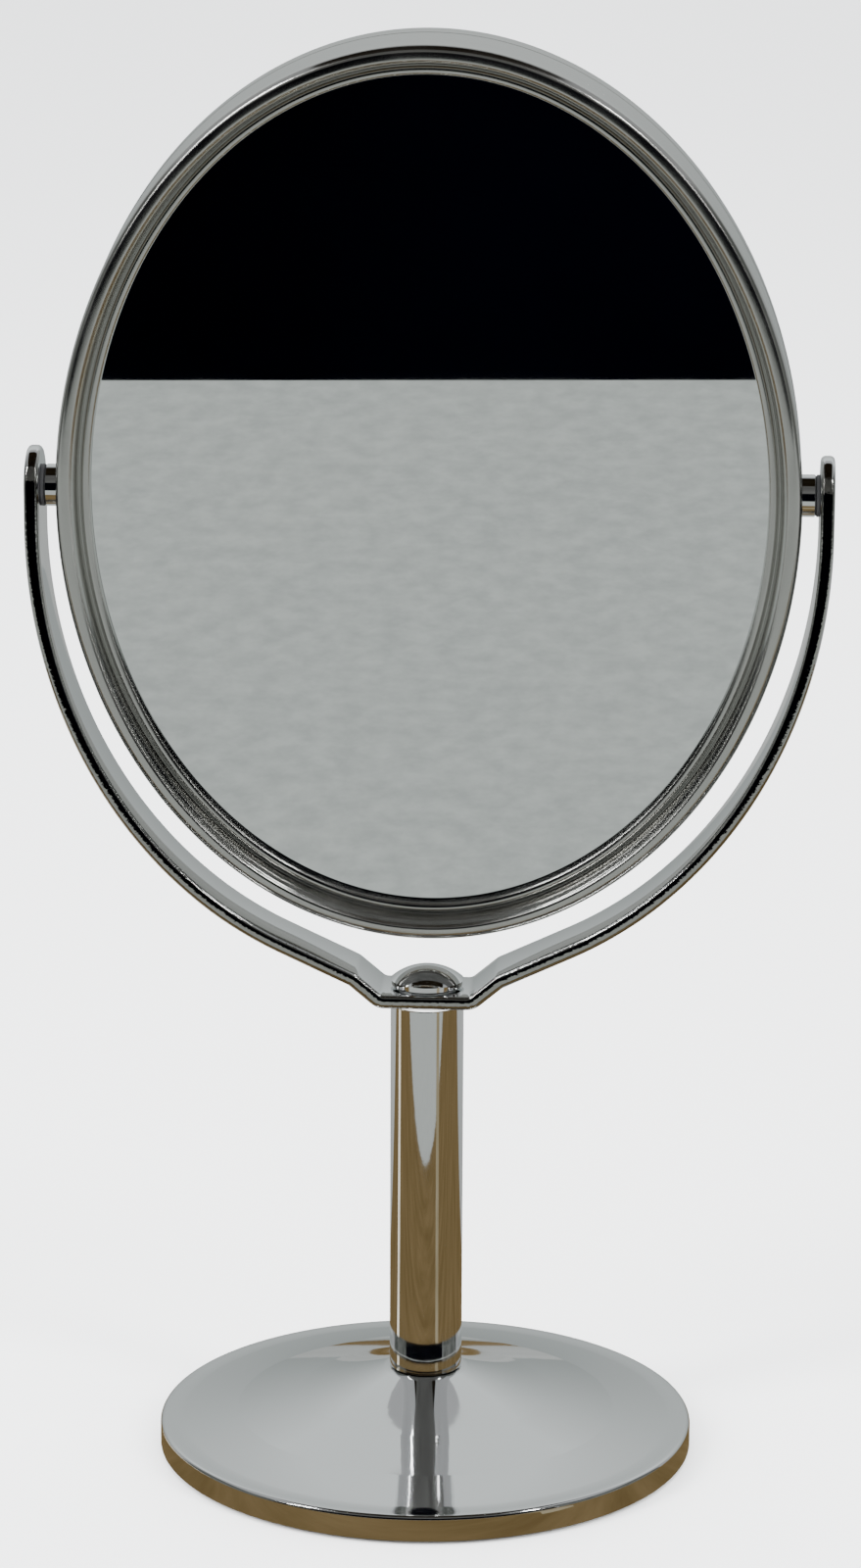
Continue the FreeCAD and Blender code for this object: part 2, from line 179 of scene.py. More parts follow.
def chrome(name, colour, roughness, scratch_size, scratch_depth):
    """Plated steel: a bright metal with faint wipe marks and a very fine uneven polish."""
    material = bpy.data.materials.new(name)
    material.use_nodes = True
    nodes, links = material.node_tree.nodes, material.node_tree.links
    shader = nodes["Principled BSDF"]
    shader.inputs["Base Color"].default_value = (*colour, 1)
    shader.inputs["Metallic"].default_value = 1.0
    place = nodes.new("ShaderNodeTexCoord")
    smear = nodes.new("ShaderNodeTexNoise")
    smear.inputs["Scale"].default_value = 60
    smear.inputs["Detail"].default_value = 4
    links.new(place.outputs["Object"], smear.inputs["Vector"])
    gloss = nodes.new("ShaderNodeMapRange")
    gloss.inputs["From Min"].default_value = 0.35
    gloss.inputs["From Max"].default_value = 0.75
    gloss.inputs["To Min"].default_value = roughness
    gloss.inputs["To Max"].default_value = roughness * 1.8
    links.new(smear.outputs["Fac"], gloss.inputs["Value"])
    links.new(gloss.outputs["Result"], shader.inputs["Roughness"])
    polish = nodes.new("ShaderNodeTexNoise")
    polish.inputs["Scale"].default_value = scratch_size
    polish.inputs["Detail"].default_value = 3
    links.new(place.outputs["Object"], polish.inputs["Vector"])
    bump = nodes.new("ShaderNodeBump")
    bump.inputs["Strength"].default_value = scratch_depth
    bump.inputs["Distance"].default_value = 0.0001
    links.new(polish.outputs["Fac"], bump.inputs["Height"])
    links.new(bump.outputs["Normal"], shader.inputs["Normal"])
    return material


PLATING = (0.80, 0.81, 0.81)
BRIGHT_POLISH = (0.035, 300, 0.05)
bright_chrome = chrome("bright_chrome", PLATING, *BRIGHT_POLISH)
base = turned("spun_base", base_outline, BASE_SEGMENTS, close_start=False, close_end=False)
settle(base)
base.data.materials.append(bright_chrome)
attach(base, "base")
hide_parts("base_shell")


# ---- Column tube ----------------------------------------------------------------------
# The outer tube of the telescopic column: plain round steel tube, cut square, with its
# edges just broken, plated like the base. It slides on the post inside it.
tube_low, tube_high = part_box("column_tube")
TUBE_WALL = 1.0 * MM
BROKEN_EDGE = 0.25 * MM


def tube_outline(low, high, radius, wall, edge):
    """Closed outline of a tube: up its outside, over its top and down its bore."""
    return [(radius - wall, low), (radius - edge, low), (radius, low + edge),
            (radius, high - edge), (radius - edge, high), (radius - wall, high),
            (radius - wall, low)]


tube = turned("column_tube_outer",
              tube_outline(tube_low.z, tube_high.z, tube_high.x, TUBE_WALL, BROKEN_EDGE),
              128, close_start=False, close_end=False)
settle(tube)
tube.data.materials.append(bright_chrome)
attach(tube, "column")
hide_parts("column_tube")


# ---- Inner post -----------------------------------------------------------------------
# The thinner fixed tube that shows between base and column when the mirror is raised.
# Bright chrome, plated like the column tube.
post_low, post_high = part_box("inner_post")
post = turned("inner_post_tube",
              tube_outline(post_low.z, post_high.z, post_high.x, TUBE_WALL, BROKEN_EDGE),
              96, close_start=False, close_end=False)
settle(post)
post.data.materials.append(bright_chrome)
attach(post, "base")
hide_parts("inner_post")


# ---- Domed screw ----------------------------------------------------------------------
# The low domed head that holds the yoke down on the column, as wide as the column, turned
# from bar and plated.
screw_low, screw_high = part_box("swivel_screw")
DOME_FOOT = 106.3 * MM
DOME_RADIUS = 8.0 * MM
DOME_RISE = 3.0 * MM
SHANK = 3.0 * MM
dome_ball = (DOME_RADIUS**2 + DOME_RISE**2) / (2 * DOME_RISE)
dome_span = degrees(atan2(DOME_RADIUS, dome_ball - DOME_RISE))
dome_outline = [(SHANK, screw_low.z), (SHANK, DOME_FOOT),
                (DOME_RADIUS - BROKEN_EDGE, DOME_FOOT), (DOME_RADIUS, DOME_FOOT + BROKEN_EDGE)]
dome_outline += quarter((0, screw_high.z - dome_ball), dome_ball,
                        90 - dome_span, 90 - 0.2, 24)
dome = turned("domed_screw_head", dome_outline, 96)
settle(dome)
dome.data.materials.append(bright_chrome)
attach(dome, "column")
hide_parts("swivel_screw")


# ---- Yoke -----------------------------------------------------------------------------
# One flat steel strip, sheared to length with round ends and bent cold: two arms that
# follow the oval of the rim, straight legs, and a seat sunk onto the column.
yoke_low, yoke_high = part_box("yoke_strip")
pin_low, pin_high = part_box("pivot_pin_right")
PIVOT = (pin_low.z + pin_high.z) / 2
STRIP = 3.0 * MM
OUTER_HALF_HEIGHT = 99.8 * MM
ARM_STRAIGHT = 8.0 * MM
OVAL_END = 32.0 * MM
DROP_START = 16.7 * MM
DROP_SLOPE = radians(40)
BEND_RADIUS = 2.0 * MM
STRIP_EDGE = 1.0 * MM
OVAL_STEPS = 56
BEND_STEPS = 8
ARM_ROUND_STEPS = 20
LEVEL = 0.01 * MM
ARM_MERGE = 0.05 * MM
# Painted shade: a darker colour for the sheared edges, standing in for the dark room they reflect.
SHEARED_EDGE_PAINTED_SHADE = (0.42, 0.42, 0.40)
strip_width = yoke_high.y - yoke_low.y
arm_reach = yoke_high.x


def yoke_stations():
    """Middle line of the strip as (x, z), from the top of the right arm to the seat."""
    half = STRIP / 2
    wide, tall = arm_reach - half, OUTER_HALF_HEIGHT - half
    share = OVAL_END / arm_reach
    fall = sqrt(1 - share**2)
    slope = atan2(OUTER_HALF_HEIGHT * share, arm_reach * fall)
    centre = PIVOT - ARM_STRAIGHT
    join = Vector((OVAL_END - half * sin(slope),
                   centre - OUTER_HALF_HEIGHT * fall + half * cos(slope)))
    points = [Vector((wide, yoke_high.z)), Vector((wide, PIVOT)), Vector((wide, centre))]
    last = atan2((centre - join.y) / tall, join.x / wide)
    for step in range(1, OVAL_STEPS + 1):
        angle = last * step / OVAL_STEPS
        points.append(Vector((wide * cos(angle), centre - tall * sin(angle))))
    leg = Vector((-cos(slope), -sin(slope)))
    drop = Vector((-cos(DROP_SLOPE), -sin(DROP_SLOPE)))
    flat = Vector((-1, 0))
    seat = yoke_low.z + half
    upper = points[-1] + leg * ((points[-1].x - DROP_START + half * sin((slope + DROP_SLOPE) / 2))
                                / cos(slope))
    lower = upper + drop * ((upper.y - seat) / sin(DROP_SLOPE))
    radius = BEND_RADIUS + half
    for corner, arrive, leave in ((upper, leg, drop), (lower, drop, flat)):
        half_turn = arrive.angle(leave) / 2
        reach = radius * tan(half_turn)
        for step in range(BEND_STEPS + 1):
            t = step / BEND_STEPS
            start, end = corner - arrive * reach, corner + leave * reach
            points.append(start.lerp(corner, t).lerp(corner.lerp(end, t), t))
    return points + [Vector((0, seat))]


right_half = yoke_stations()
stations = right_half + [Vector((-p.x, p.y)) for p in reversed(right_half[:-1])]
deselect()
bpy.ops.mesh.primitive_plane_add(size=1, location=(stations[0].x, 0, stations[0].y))
yoke = bpy.context.object
yoke.name = "bent_yoke_strip"
yoke.scale = (STRIP, strip_width, 1)
bpy.ops.object.transform_apply(location=True, rotation=True, scale=True)
bpy.ops.object.mode_set(mode="EDIT")
bpy.ops.mesh.select_all(action="SELECT")
heading = Vector((0, -1))
for before, here, after in zip(stations, stations[1:], stations[2:] + [None]):
    move = here - before
    bpy.ops.mesh.extrude_region_move(TRANSFORM_OT_translate={"value": (move.x, 0, move.y)})
    arrive = (here - before).normalized()
    leave = (after - here).normalized() if after is not None else arrive
    facing = (arrive + leave).normalized()
    turn = atan2(facing.y, facing.x) - atan2(heading.y, heading.x)
    turn = (turn + pi) % (2 * pi) - pi
    bpy.ops.transform.rotate(value=turn, orient_axis="Y",
                             center_override=(here.x, 0, here.y))
    heading = facing
bpy.ops.object.mode_set(mode="OBJECT")


def pick_edges(piece, wanted):
    """Goes into edit mode with only the edges that wanted(a, b) accepts selected."""
    open_edit(piece)
    bpy.ops.mesh.select_mode(type="EDGE")
    mesh = bmesh.from_edit_mesh(piece.data)
    for edge in mesh.edges:
        if wanted(edge.verts[0].co, edge.verts[1].co):
            edge.select = True
    mesh.select_flush_mode()
    bmesh.update_edit_mesh(piece.data)


def break_edges(piece, width, segments, angle):
    """Rounds every edge sharper than angle, as a tumbled or polished edge is."""
    bevel = piece.modifiers.new("broken edge", "BEVEL")
    bevel.width = width
    bevel.segments = segments
    bevel.limit_method = "ANGLE"
    bevel.angle_limit = radians(angle)
    bevel.use_clamp_overlap = False
    deselect()
    bpy.context.view_layer.objects.active = piece
    piece.select_set(True)
    bpy.ops.object.modifier_apply(modifier=bevel.name)


def arm_top(a, b):
    """Tells whether an edge is one of the two that cross the top of an arm."""
    level = abs(a.z - yoke_high.z) < LEVEL and abs(b.z - yoke_high.z) < LEVEL
    return level and abs(a.y - b.y) < LEVEL


pick_edges(yoke, arm_top)
bpy.ops.mesh.bevel(offset=strip_width / 2, segments=ARM_ROUND_STEPS, affect="EDGES")
bpy.ops.mesh.select_all(action="SELECT")
bpy.ops.mesh.remove_doubles(threshold=ARM_MERGE)
close_edit()
break_edges(yoke, STRIP_EDGE, 4, 50)
settle(yoke, 25)


def sheared_chrome_painted_shade(name):
    """Bright chrome on the rolled faces; on the sheared edges a fine bump breaks it up and painted
    shade darkens the colour, standing in for the darkness those edges reflect.
    """
    material = chrome(name, PLATING, *BRIGHT_POLISH)
    nodes, links = material.node_tree.nodes, material.node_tree.links
    shader = nodes["Principled BSDF"]
    place = nodes.new("ShaderNodeTexCoord")
    split = nodes.new("ShaderNodeSeparateXYZ")
    links.new(place.outputs["Normal"], split.inputs["Vector"])
    across = nodes.new("ShaderNodeMath")
    across.operation = "ABSOLUTE"
    links.new(split.outputs["Y"], across.inputs[0])
    edge = nodes.new("ShaderNodeMapRange")
    edge.inputs["From Min"].default_value = 0.45
    edge.inputs["From Max"].default_value = 0.85
    links.new(across.outputs["Value"], edge.inputs["Value"])
    tears = nodes.new("ShaderNodeTexNoise")
    tears.inputs["Scale"].default_value = 1100
    tears.inputs["Detail"].default_value = 2
    links.new(place.outputs["Object"], tears.inputs["Vector"])
    torn = nodes.new("ShaderNodeBump")
    torn.inputs["Distance"].default_value = 0.00004
    links.new(edge.outputs["Result"], torn.inputs["Strength"])
    links.new(tears.outputs["Fac"], torn.inputs["Height"])
    links.new(shader.inputs["Normal"].links[0].from_socket, torn.inputs["Normal"])
    links.new(torn.outputs["Normal"], shader.inputs["Normal"])
    # Painted shade: the sheared edges' colour is mixed towards the darker tone.
    tone = nodes.new("ShaderNodeMix")
    tone.data_type = "RGBA"
    tone.inputs["A"].default_value = (*PLATING, 1)
    tone.inputs["B"].default_value = (*SHEARED_EDGE_PAINTED_SHADE, 1)
    links.new(edge.outputs["Result"], tone.inputs["Factor"])
    links.new(tone.outputs["Result"], shader.inputs["Base Color"])
    return material


yoke.data.materials.append(sheared_chrome_painted_shade("sheared_chrome_painted_shade"))
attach(yoke, "yoke")
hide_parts("yoke_strip")


# ---- Pivot pins, washers and bosses -----------------------------------------------------
# At each arm a countersunk pin, just proud of the strip, passes a black nylon washer and
# screws into a short round boss that is riveted to the rim.
def laid_across(piece, side):
    """Turns a piece made along Z so that it lies along the tilt axis, at pivot height."""
    piece.rotation_euler = (0, side * pi / 2, 0)
    piece.location = (0, 0, PIVOT)
    return piece


def moulded(name, colour, grain):
    """Moulded nylon or plastic: a fine uneven skin with a soft gloss."""
    material = bpy.data.materials.new(name)
    material.use_nodes = True
    nodes, links = material.node_tree.nodes, material.node_tree.links
    shader = nodes["Principled BSDF"]
    shader.inputs["Roughness"].default_value = 0.48
    place = nodes.new("ShaderNodeTexCoord")
    skin = nodes.new("ShaderNodeTexNoise")
    skin.inputs["Scale"].default_value = grain
    skin.inputs["Detail"].default_value = 5
    links.new(place.outputs["Object"], skin.inputs["Vector"])
    tone = nodes.new("ShaderNodeValToRGB")
    tone.color_ramp.elements[0].color = (*[c * 0.8 for c in colour], 1)
    tone.color_ramp.elements[1].color = (*[min(1, c * 1.15) for c in colour], 1)
    links.new(skin.outputs["Fac"], tone.inputs["Fac"])
    links.new(tone.outputs["Color"], shader.inputs["Base Color"])
    bump = nodes.new("ShaderNodeBump")
    bump.inputs["Strength"].default_value = 0.25
    bump.inputs["Distance"].default_value = 0.00005
    links.new(skin.outputs["Fac"], bump.inputs["Height"])
    links.new(bump.outputs["Normal"], shader.inputs["Normal"])
    return material


black_nylon = moulded("black_nylon", (0.035, 0.035, 0.038), 900)
PIN_HEAD_RADIUS = 3.4 * MM
PIN_HEAD_DEPTH = 1.2 * MM
PIN_SHANK = 2.0 * MM
PIN_DOMING = 0.1 * MM
WASHER_EDGE = 0.15 * MM
BOSS_CLEARANCE = 0.1 * MM
BOSS_EDGE = 0.35 * MM
for side, name in ((1, "right"), (-1, "left")):
    low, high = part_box("pivot_pin_" + name)
    inner, outer = sorted((abs(low.x), abs(high.x)))
    head_outline = [(PIN_SHANK, inner), (PIN_SHANK, outer - PIN_HEAD_DEPTH),
                    (PIN_HEAD_RADIUS, outer - PIN_DOMING)]
    head_outline += [(PIN_HEAD_RADIUS * cos(radians(a)), outer - PIN_DOMING * (1 - sin(radians(a))))
                     for a in (20, 40, 60, 75, 88)]
    pin = laid_across(turned("pin_head_" + name, head_outline, 48), side)
    settle(pin)
    pin.data.materials.append(bright_chrome)
    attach(pin, "yoke")
    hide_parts("pivot_pin_" + name)

    low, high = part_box("pivot_washer_" + name)
    inner, outer = sorted((abs(low.x), abs(high.x)))
    washer = turned("nylon_washer_" + name,
                    tube_outline(inner, outer, high.y, high.y - PIN_SHANK, WASHER_EDGE),
                    64, close_start=False, close_end=False)
    settle(laid_across(washer, side))
    washer.data.materials.append(black_nylon)
    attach(washer, "yoke")
    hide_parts("pivot_washer_" + name)

    low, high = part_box("pivot_boss_" + name)
    inner, outer = sorted((abs(low.x), abs(high.x)))
    boss = turned("round_boss_" + name,
                  tube_outline(inner, outer, high.y, high.y - PIN_SHANK - BOSS_CLEARANCE,
                               BOSS_EDGE),
                  64, close_start=False, close_end=False)
    settle(laid_across(boss, side))
    boss.data.materials.append(bright_chrome)
    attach(boss, "head")
    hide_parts("pivot_boss_" + name)


# ---- Rim ------------------------------------------------------------------------------
# A pressed steel bezel on each face, with a full outer roll, a groove and a small inner
# lip, pushed onto a plain band. Plated, with a slightly softer polish than the yoke.
OVAL_SEGMENTS = 256
RIM_A = 79.0 * MM
RIM_B = 98.9 * MM
RIM_DEPTH = 20.0 * MM
HEAD_DROP = 1.2 * MM
REST_TILT = radians(7)


def oval(name, section, segments=OVAL_SEGMENTS, close_start=False, close_end=False):
    """An oval piece grown ring by ring: section is (inwards, depth behind the front)."""
    inwards, depth = section[0]
    deselect()
    bpy.ops.mesh.primitive_circle_add(vertices=segments, radius=1, rotation=(pi / 2, 0, 0))
    piece = bpy.context.object
    piece.name = name
    piece.scale = (RIM_A - inwards, RIM_B - inwards, 1)
    piece.location = (0, depth - RIM_DEPTH / 2, 0)
    bpy.ops.object.transform_apply(location=True, rotation=True, scale=True)
    bpy.ops.object.mode_set(mode="EDIT")
    bpy.ops.mesh.select_all(action="SELECT")
    if close_start:
        bpy.ops.mesh.edge_face_add()
    for next_inwards, next_depth in section[1:]:
        bpy.ops.mesh.extrude_region_move(
            TRANSFORM_OT_translate={"value": (0, next_depth - depth, 0)})
        grow = ((RIM_A - next_inwards) / (RIM_A - inwards), 1,
                (RIM_B - next_inwards) / (RIM_B - inwards))
        bpy.ops.transform.resize(value=grow, center_override=(0, 0, 0))
        inwards, depth = next_inwards, next_depth
    if close_end:
        bpy.ops.mesh.edge_face_add()
    bpy.ops.mesh.select_all(action="SELECT")
    bpy.ops.transform.translate(value=(0, 0, -HEAD_DROP))
    bpy.ops.object.mode_set(mode="OBJECT")
    piece.rotation_euler = (REST_TILT, 0, 0)
    piece.location = (0, 0, PIVOT)
    return piece


def smoothed(points, rounds):
    """Cuts the corners of an open outline again and again until it runs smoothly."""
    for _ in range(rounds):
        finer = [points[0]]
        for (ax, ay), (bx, by) in zip(points, points[1:]):
            finer += [(0.75 * ax + 0.25 * bx, 0.75 * ay + 0.25 * by),
                      (0.25 * ax + 0.75 * bx, 0.25 * ay + 0.75 * by)]
        points = finer + [points[-1]]
    return points


BAND_JOINT = 6.5 * MM
BAND_WALL = 1.6 * MM
BAND_CORNER = 0.2 * MM
BAND_INSET = 0.03 * MM
BAND_EDGE = 0.15 * MM
BEZEL_FACE = [(0, 6.5), (0, 2.8), (0.08, 1.75), (0.55, 0.7), (1.2, 0.2), (2.3, 0.2), (3.2, 0.3),
              (3.8, 1.4), (4.25, 3.4), (4.5, 5.5), (4.95, 5.5), (5.4, 4.6), (6.2, 4.6),
              (7.0, 4.9), (7.1, 6.6)]
BEZEL_BEHIND = [(6.3, 6.6), (6.2, 5.8), (5.8, 5.5), (5.3, 6.0), (4.4, 6.4), (3.7, 4.4),
                (2.9, 1.6), (2.0, 1.1), (1.2, 1.6), (0.8, 3.4), (0.8, 6.5), (0, 6.5)]
bezel_section = [(inwards * MM, depth * MM)
                 for inwards, depth in smoothed(BEZEL_FACE, 3) + BEZEL_BEHIND]
soft_chrome = chrome("soft_chrome", (0.54, 0.54, 0.52), 0.12, 220, 0.01)
for face, node in (("front", "front_bezel"), ("back", "back_bezel")):
    section = bezel_section
    if face == "back":
        section = [(inwards, RIM_DEPTH - depth) for inwards, depth in section]
    bezel = settle(oval("bezel_" + face, section), 35)
    bezel.data.materials.append(soft_chrome)
    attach(bezel, "head")
    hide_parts(node)
band_back = RIM_DEPTH - BAND_JOINT
band = oval("rim_side_band", [(BAND_WALL, BAND_JOINT), (BAND_CORNER, BAND_JOINT),
                              (BAND_INSET, BAND_JOINT + BAND_EDGE),
                              (BAND_INSET, band_back - BAND_EDGE), (BAND_CORNER, band_back),
                              (BAND_WALL, band_back), (BAND_WALL, BAND_JOINT)])
settle(band, 35)
band.data.materials.append(soft_chrome)
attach(band, "head")
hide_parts("rim_band")


# ---- Glasses --------------------------------------------------------------------------
# Two oval silvered glasses with ground edges, held behind the bezels' lips: a flat one in
# front and a hollow one behind that magnifies.
def silvered(name):
    """Silvered glass, almost clean: bright, very sharp, with the faintest film on it."""
    material = bpy.data.materials.new(name)
    material.use_nodes = True
    nodes, links = material.node_tree.nodes, material.node_tree.links
    shader = nodes["Principled BSDF"]
    shader.inputs["Metallic"].default_value = 1.0
    place = nodes.new("ShaderNodeTexCoord")
    film = nodes.new("ShaderNodeTexNoise")
    film.inputs["Scale"].default_value = 35
    film.inputs["Detail"].default_value = 5
    links.new(place.outputs["Object"], film.inputs["Vector"])
    tone = nodes.new("ShaderNodeValToRGB")
    tone.color_ramp.elements[0].color = (0.83, 0.86, 0.86, 1)
    tone.color_ramp.elements[1].color = (0.88, 0.90, 0.89, 1)
    links.new(film.outputs["Fac"], tone.inputs["Fac"])
    links.new(tone.outputs["Color"], shader.inputs["Base Color"])
    gloss = nodes.new("ShaderNodeMapRange")
    gloss.inputs["To Min"].default_value = 0.0
    gloss.inputs["To Max"].default_value = 0.02
    links.new(film.outputs["Fac"], gloss.inputs["Value"])
    links.new(gloss.outputs["Result"], shader.inputs["Roughness"])
    return material


GLASS_INSET = 2.6 * MM
GLASS_THICK = 1.8 * MM
GLASS_FRONT = 6.8 * MM
GROUND_EDGE = 0.2 * MM
mirror_glass = silvered("mirror_glass")
front_glass = oval("flat_glass", [(GLASS_INSET + GROUND_EDGE, GLASS_FRONT + GLASS_THICK),
                                  (GLASS_INSET, GLASS_FRONT + GLASS_THICK - GROUND_EDGE),
                                  (GLASS_INSET, GLASS_FRONT + GROUND_EDGE),
                                  (GLASS_INSET + GROUND_EDGE, GLASS_FRONT)],
                   close_start=True, close_end=True)
settle(front_glass)
front_glass.data.materials.append(mirror_glass)
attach(front_glass, "head")
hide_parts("front_glass")

HOLLOW_RADIUS = 2000 * MM
HOLLOW_CENTRE = 11.1 * MM
GLASS_RINGS = 24
LAST_RING = 0.985
last_inset = RIM_A * LAST_RING
rings = [(GLASS_INSET + (last_inset - GLASS_INSET) * i / GLASS_RINGS, HOLLOW_CENTRE)
         for i in range(GLASS_RINGS + 1)]
back_glass = oval("hollow_glass", rings, 192, close_end=True)
back_glass.rotation_euler = (0, 0, 0)
back_glass.location = (0, 0, 0)
ball_centre = bpy.data.objects.new("hollow_centre", None)
bpy.context.scene.collection.objects.link(ball_centre)
ball_centre.location = (0, HOLLOW_CENTRE - RIM_DEPTH / 2 + HOLLOW_RADIUS, -HEAD_DROP)
cast = back_glass.modifiers.new("hollow", "CAST")
cast.object = ball_centre
cast.factor = 1.0
cast.radius = 0
cast.size = HOLLOW_RADIUS
cast.use_radius_as_size = False
solid = back_glass.modifiers.new("thickness", "SOLIDIFY")
solid.thickness = GLASS_THICK
solid.offset = 1
bpy.context.view_layer.update()
deselect()
back_glass.select_set(True)
bpy.context.view_layer.objects.active = back_glass
bpy.ops.object.modifier_apply(modifier=cast.name)
bpy.ops.object.mode_set(mode="EDIT")
bpy.ops.mesh.select_all(action="SELECT")
bpy.ops.mesh.normals_make_consistent(inside=False)
bpy.ops.object.mode_set(mode="OBJECT")
bpy.ops.object.modifier_apply(modifier=solid.name)
bpy.data.objects.remove(ball_centre)
back_glass.rotation_euler = (REST_TILT, 0, 0)
back_glass.location = (0, 0, PIVOT)
settle(back_glass)
back_glass.data.materials.append(mirror_glass)
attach(back_glass, "head")
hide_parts("magnifying_glass")


# ---- Foot pad ---------------------------------------------------------------------------
# A disc of closed-cell foam glued under the base, a little smaller than the steel edge and
# thick enough to keep the steel off the table.
PAD_EDGE = 0.4 * MM
pad_low, pad_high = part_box("base_pad")
pad = turned("foam_foot_pad",
             [(pad_high.x - PAD_EDGE, 0), (pad_high.x, PAD_EDGE), (pad_high.x, pad_high.z)], 128)
settle(pad)
pad.data.materials.append(moulded("foam_rubber", (0.03, 0.03, 0.03), 1500))
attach(pad, "base")
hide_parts("base_pad")


# ---- Hidden fittings --------------------------------------------------------------------
# The weight, screws, plugs, sleeves and tray stay as they are and get their own finishes:
# lacquered cast iron, zinc plate, black and natural nylon, and dark moulded plastic.
zinc_plate = chrome("zinc_plate", (0.62, 0.63, 0.64), 0.28, 500, 0.3)
iron = moulded("lacquered_iron", (0.12, 0.12, 0.12), 400)
white_nylon = moulded("white_nylon", (0.74, 0.73, 0.70), 900)
tray_plastic = moulded("tray_plastic", (0.13, 0.13, 0.14), 700)
finishes = {
    iron: ["base_weight"],
    zinc_plate: ["base_screw", "base_washer", "post_foot_plug", "column_top_plug",
                 "swivel_spring_washer"],
    black_nylon: ["post_guide_sleeve", "post_top_cap", "column_lower_bush"],
    white_nylon: ["swivel_washer"],
    tray_plastic: ["core_tray"],
}
for material, names in finishes.items():
    for node in names:
        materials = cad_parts[node].data.materials
        materials.clear()
        materials.append(material)


# ---- Floor, cards and light ---------------------------------------------------------------
# A wide pale floor under an even sky. The cards and the grey room show only in the metal and
# the glass: brown wood round the foot, pale cloth in front of it with darkness and dusk
# beyond, a pale wall behind, grey walls at the sides and a dim ceiling. Sizes in metres.
def glowing(name, colour, other, grain, stretch=(1, 1, 1)):
    """An even glow in two close tones, for a card that only shows as a reflection."""
    material = bpy.data.materials.new(name)
    material.use_nodes = True
    nodes, links = material.node_tree.nodes, material.node_tree.links
    nodes.remove(nodes["Principled BSDF"])
    glow = nodes.new("ShaderNodeEmission")
    place = nodes.new("ShaderNodeTexCoord")
    spread = nodes.new("ShaderNodeMapping")
    spread.inputs["Scale"].default_value = stretch
    links.new(place.outputs["Object"], spread.inputs["Vector"])
    mottle = nodes.new("ShaderNodeTexNoise")
    mottle.inputs["Scale"].default_value = grain
    mottle.inputs["Detail"].default_value = 8
    mottle.inputs["Roughness"].default_value = 0.6
    links.new(spread.outputs["Vector"], mottle.inputs["Vector"])
    tone = nodes.new("ShaderNodeValToRGB")
    tone.color_ramp.elements[0].position = 0.35
    tone.color_ramp.elements[0].color = (*colour, 1)
    tone.color_ramp.elements[1].position = 0.65
    tone.color_ramp.elements[1].color = (*other, 1)
    links.new(mottle.outputs["Fac"], tone.inputs["Fac"])
    links.new(tone.outputs["Color"], glow.inputs["Color"])
    links.new(glow.outputs["Emission"], nodes["Material Output"].inputs["Surface"])
    return material


def graded(name, low, high, height):
    """A glow that brightens from its foot upwards, like a wall below a window."""
    material = bpy.data.materials.new(name)
    material.use_nodes = True
    nodes, links = material.node_tree.nodes, material.node_tree.links
    nodes.remove(nodes["Principled BSDF"])
    glow = nodes.new("ShaderNodeEmission")
    place = nodes.new("ShaderNodeTexCoord")
    split = nodes.new("ShaderNodeSeparateXYZ")
    links.new(place.outputs["Object"], split.inputs["Vector"])
    climb = nodes.new("ShaderNodeMapRange")
    climb.inputs["From Max"].default_value = height
    links.new(split.outputs["Z"], climb.inputs["Value"])
    tone = nodes.new("ShaderNodeValToRGB")
    tone.color_ramp.elements[0].color = (*low, 1)
    tone.color_ramp.elements[1].color = (*high, 1)
    links.new(climb.outputs["Result"], tone.inputs["Fac"])
    links.new(tone.outputs["Color"], glow.inputs["Color"])
    links.new(glow.outputs["Emission"], nodes["Material Output"].inputs["Surface"])
    return material


def only_reflected(piece, material):
    """Makes a stage piece show in the metal and the glass, and nowhere else."""
    piece.data.materials.append(material)
    piece.visible_camera = False
    piece.visible_diffuse = False
    piece.visible_shadow = False
    piece.visible_transmission = False


def card(name, middle, size, turn, material):
    """A flat card that only reflections show; turn is its rotation in degrees."""
    deselect()
    bpy.ops.mesh.primitive_plane_add(size=1, location=middle)
    piece = bpy.context.object
    piece.name = name
    piece.scale = (size[0], size[1], 1)
    piece.rotation_euler = [radians(angle) for angle in turn]
    bpy.ops.object.transform_apply(location=True, rotation=True, scale=True)
    only_reflected(piece, material)
    return piece


CLOTH_EDGE = -0.56
CLOTH_SPARE = 0.06
WOOD_EDGE = -0.205
WOOD_BACK = 0.12
DARK_TOP = 0.42
DUSK_TOP = 1.30
FAR_EDGE_TURN = -2
WALL_X = 1.0
WALL_BRIGHT_AT = 0.95
GLARE_MIDDLE = 0.22
GLARE_LENGTH = 0.30
ROOM_RADIUS = 7
FLOOR_SIZE = 40
wood = glowing("wood_brown", (0.16, 0.11, 0.046), (0.23, 0.165, 0.078), 14, (1, 6, 1))
cloth = glowing("cloth_grey", (0.47, 0.50, 0.485), (0.58, 0.61, 0.59), 110)
pale = glowing("pale_room", (0.42, 0.44, 0.43), (0.62, 0.64, 0.63), 2)
sky = graded("back_wall", (0.36, 0.39, 0.385), (0.84, 0.885, 0.885), WALL_BRIGHT_AT)
ceiling = glowing("dim_ceiling", (0.006, 0.004, 0.002), (0.02, 0.015, 0.009), 2)
dark = glowing("dark_room", (0.0002, 0.0003, 0.0012), (0.0006, 0.0009, 0.0035), 3)
dusk = glowing("dusk_wall", (0.085, 0.085, 0.082), (0.14, 0.14, 0.135), 3)
grey = glowing("grey_wall", (0.05, 0.055, 0.05), (0.22, 0.23, 0.22), 3)
bright = glowing("window_glare", (1.1, 1.0, 0.8), (1.7, 1.6, 1.35), 20)
faint = glowing("faint_glare", (0.30, 0.25, 0.15), (0.42, 0.36, 0.24), 20)
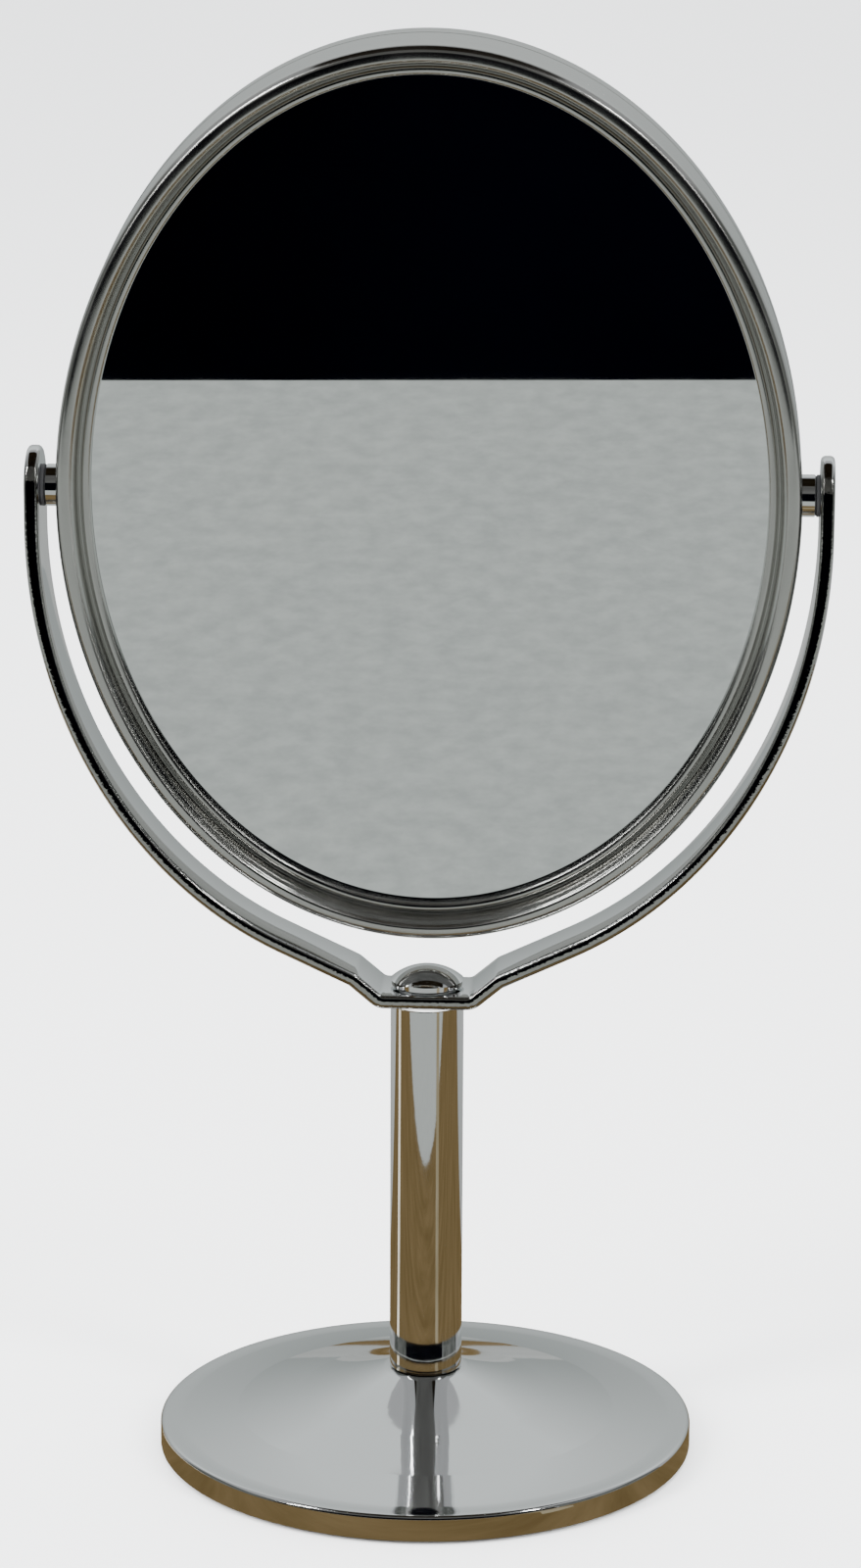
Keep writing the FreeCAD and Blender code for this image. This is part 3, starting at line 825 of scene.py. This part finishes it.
card("pale_card", (0, 0, 0.0002), (2 * ROOM_RADIUS, 2 * ROOM_RADIUS), (0, 0, 0), pale)
card("wood_card", (0, (WOOD_BACK + WOOD_EDGE) / 2, 0.0004), (0.9, WOOD_BACK - WOOD_EDGE),
     (0, 0, 0), wood)
card("cloth_card", (0, (CLOTH_EDGE + WOOD_EDGE - CLOTH_SPARE) / 2, 0.0003),
     (1.6, WOOD_EDGE - CLOTH_EDGE + CLOTH_SPARE), (0, 0, 0), cloth)
card("dark_card", (0, CLOTH_EDGE, DARK_TOP / 2), (1.9, DARK_TOP), (90, 0, FAR_EDGE_TURN), dark)
card("dusk_card", (0, CLOTH_EDGE, (DARK_TOP + DUSK_TOP) / 2), (1.9, DUSK_TOP - DARK_TOP),
     (90, 0, FAR_EDGE_TURN), dusk)
card("dusk_corner", (1.05, -0.55, 0.95), (0.8, 1.1), (90, 0, 60), dusk)
card("back_card", (0, 1.1, 0.75), (2.6, 1.5), (90, 0, 0), sky)
card("ceiling_card", (0, 0, 1.5), (1.4, 1.4), (0, 0, 0), ceiling)
for name, x in (("left_wall", -WALL_X), ("right_wall", WALL_X)):
    card(name, (x, -0.05, 0.4), (0.8, 1.1), (0, 90, 0), grey)
for name, azimuth, spread, glow in (("left_glare", -92, 0.08, bright),
                                    ("right_glare", 37, 0.08, faint)):
    reach = card(name, (0, 0, 0.0006), (GLARE_LENGTH, 1), (0, 0, 0), glow)
    for corner in reach.data.vertices:
        corner.co.x += GLARE_MIDDLE
        corner.co.y *= spread * 2 * corner.co.x
    reach.rotation_euler = (0, 0, radians(azimuth - 90))

deselect()
bpy.ops.mesh.primitive_uv_sphere_add(radius=ROOM_RADIUS)
room = bpy.context.object
room.name = "room"
only_reflected(room, glowing("room_grey", (0.42, 0.43, 0.44), (0.47, 0.48, 0.49), 0.5))

deselect()
bpy.ops.mesh.primitive_plane_add(size=FLOOR_SIZE)
floor = bpy.context.object
floor.name = "floor"
floor_white = bpy.data.materials.new("floor_white")
floor_white.use_nodes = True
floor_shader = floor_white.node_tree.nodes["Principled BSDF"]
floor_shader.inputs["Base Color"].default_value = (0.90, 0.90, 0.90, 1)
floor_shader.inputs["Roughness"].default_value = 0.8
floor.data.materials.append(floor_white)

world = bpy.data.worlds.new("studio")
world.use_nodes = True
world.node_tree.nodes["Background"].inputs["Color"].default_value = (0.96, 0.98, 1.0, 1)
world.node_tree.nodes["Background"].inputs["Strength"].default_value = 3.2
bpy.context.scene.world = world


def softbox(name, place, aim, size, power):
    """A rectangular lamp that faces its aim, for soft light and long highlights."""
    data = bpy.data.lights.new(name, "AREA")
    data.shape = "RECTANGLE"
    data.size, data.size_y = size
    data.energy = power
    lamp = bpy.data.objects.new(name, data)
    bpy.context.scene.collection.objects.link(lamp)
    lamp.location = place
    lamp.rotation_euler = (Vector(aim) - Vector(place)).to_track_quat("-Z", "Y").to_euler()
    return lamp


overhead = softbox("overhead", (0, 0.3, 1.9), (0, 0, 0.1), (2.2, 1.6), 40)
overhead.visible_glossy = False
softbox("left_window", (-1.03, -0.71, 0.99), (0, 0, 0.2), (0.30, 0.90), 36)
softbox("right_window", (0.98, -0.72, 0.98), (0, 0, 0.2), (0.25, 0.70), 20)
